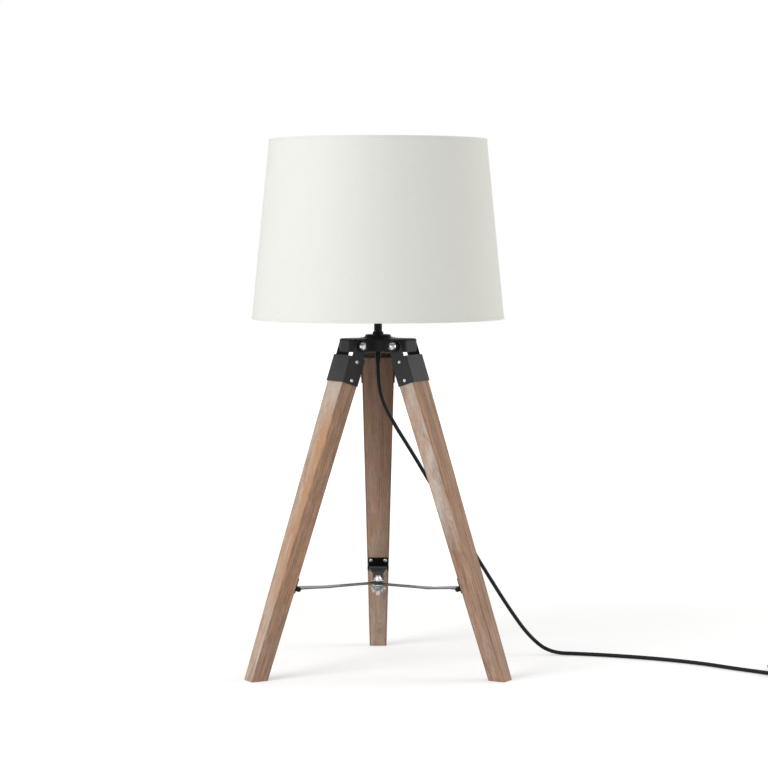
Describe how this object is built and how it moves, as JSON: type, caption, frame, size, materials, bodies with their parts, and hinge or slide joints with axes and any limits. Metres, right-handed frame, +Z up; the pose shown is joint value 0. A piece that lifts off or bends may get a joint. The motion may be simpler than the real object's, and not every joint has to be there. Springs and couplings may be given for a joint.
{
  "type": "tripod table lamp",
  "caption": "Table lamp with a tapered drum shade on a black hub, hinged wooden tripod legs, a slotted metal spreader and a trailing cord.",
  "frame": {"origin": "middle of the lamp's footprint on the surface it stands on, without the cord", "axes": "+Z up along the stem, -Y towards the side between the two front legs, +Y towards the rear leg, +X to the right of a viewer in front"},
  "size_m": [0.7677, 0.3403, 0.661],
  "materials": {
    "shade_linen": "matt",
    "white_wire": "satin",
    "black_metal": "satin",
    "black_plastic": "satin",
    "dark_stem": "satin",
    "bright_steel": "polished",
    "whitewashed_wood": "weathered",
    "brass": "satin",
    "bulb_cap_metal": "satin",
    "opal_glass": "satin",
    "cord_black": "satin"
  },
  "bodies": {
    "lamp_head": {"hub": "black_metal", "hub_cap": "black_metal", "stem_collar": "bright_steel", "stem_tube": "dark_stem", "lock_nut": "bright_steel", "cord_sleeve": "black_plastic", "inner_cord": "cord_black", "holder_cup": "black_plastic", "holder_shell": "black_plastic", "screw_shell": "brass", "centre_contact": "brass", "shade_ring_nut": "black_plastic", "bulb_cap": "bulb_cap_metal", "bulb_glass": "opal_glass", "shade": "shade_linen", "shade_wire_low": "white_wire", "shade_wire_top": "white_wire", "shade_fitter": "white_wire", "pivot_bolts": "bright_steel", "acorn_nuts": "bright_steel", "pivot_washers": "black_metal", "cord_lead": "cord_black", "cord_coil": "cord_black", "cord_tail": "cord_black", "plug_body": "cord_black", "plug_pins": "brass"},
    "knob": {"switch_knob": "black_plastic"},
    "leg_assembly_left": {"leg_left": "whitewashed_wood", "bracket_left": "black_metal", "bracket_screws_left": "bright_steel", "hinge_plate_left": "black_metal", "plate_screws_left": "bright_steel", "hinge_pin_left": "black_metal"},
    "strip_left": {"spreader_strip_left": "black_metal"},
    "leg_assembly_right": {"leg_right": "whitewashed_wood", "bracket_right": "black_metal", "bracket_screws_right": "bright_steel", "hinge_plate_right": "black_metal", "plate_screws_right": "bright_steel", "hinge_pin_right": "black_metal"},
    "strip_right": {"spreader_strip_right": "black_metal"},
    "leg_assembly_rear": {"leg_rear": "whitewashed_wood", "bracket_rear": "black_metal", "bracket_screws_rear": "bright_steel", "hinge_plate_rear": "black_metal", "plate_screws_rear": "bright_steel", "hinge_pin_rear": "black_metal"},
    "strip_rear": {"spreader_strip_rear": "black_metal"},
    "spindle": {"centre_bolt": "bright_steel", "centre_washers": "bright_steel"},
    "wing": {"wing_nut": "bright_steel"}
  },
  "joints": [
    {"name": "leg_hinge_left", "type": "hinge", "parent": "lamp_head", "child": "leg_assembly_left", "pos_m": [-0.03083, -0.03096, 0.406], "axis": [0.5, -0.866, 0], "range_deg": [0, 10]},
    {"name": "leg_hinge_right", "type": "hinge", "parent": "lamp_head", "child": "leg_assembly_right", "pos_m": [0.03083, -0.03096, 0.406], "axis": [0.5, 0.866, 0], "range_deg": [0, 10]},
    {"name": "leg_hinge_rear", "type": "hinge", "parent": "lamp_head", "child": "leg_assembly_rear", "pos_m": [0, 0.02244, 0.406], "axis": [-1, 0, 0], "range_deg": [0, 10]},
    {"name": "strip_hinge_left", "type": "hinge", "parent": "leg_assembly_left", "child": "strip_left", "pos_m": [-0.10343, -0.07287, 0.10924], "axis": [0.5, -0.866, 0], "range_deg": [-10, 0]},
    {"name": "strip_hinge_right", "type": "hinge", "parent": "leg_assembly_right", "child": "strip_right", "pos_m": [0.10343, -0.07287, 0.10924], "axis": [0.5, 0.866, 0], "range_deg": [-10, 0]},
    {"name": "strip_hinge_rear", "type": "hinge", "parent": "leg_assembly_rear", "child": "strip_rear", "pos_m": [0, 0.10628, 0.10924], "axis": [-1, 0, 0], "range_deg": [-10, 0]},
    {"name": "spindle_slide", "type": "slide", "parent": "strip_rear", "child": "spindle", "axis": [0, 1, 0], "range_m": [0, 0.053]},
    {"name": "wing_turn", "type": "hinge", "parent": "spindle", "child": "wing", "pos_m": [0, -0.01316, 0.10774], "axis": [0, 0, 1], "range_deg": [0, 180]},
    {"name": "knob_turn", "type": "hinge", "parent": "lamp_head", "child": "knob", "pos_m": [0.0195, -0.01316, 0.464], "axis": [1, 0, 0], "range_deg": [0, 90]}
  ],
  "couplings": [
    {"joint": "leg_hinge_right", "follows": "leg_hinge_left", "ratio": 1},
    {"joint": "leg_hinge_rear", "follows": "leg_hinge_left", "ratio": 1},
    {"joint": "strip_hinge_left", "follows": "leg_hinge_left", "ratio": -1},
    {"joint": "strip_hinge_right", "follows": "leg_hinge_left", "ratio": -1},
    {"joint": "strip_hinge_rear", "follows": "leg_hinge_left", "ratio": -1},
    {"joint": "spindle_slide", "follows": "leg_hinge_left", "m_per_rad": 0.30256}
  ]
}
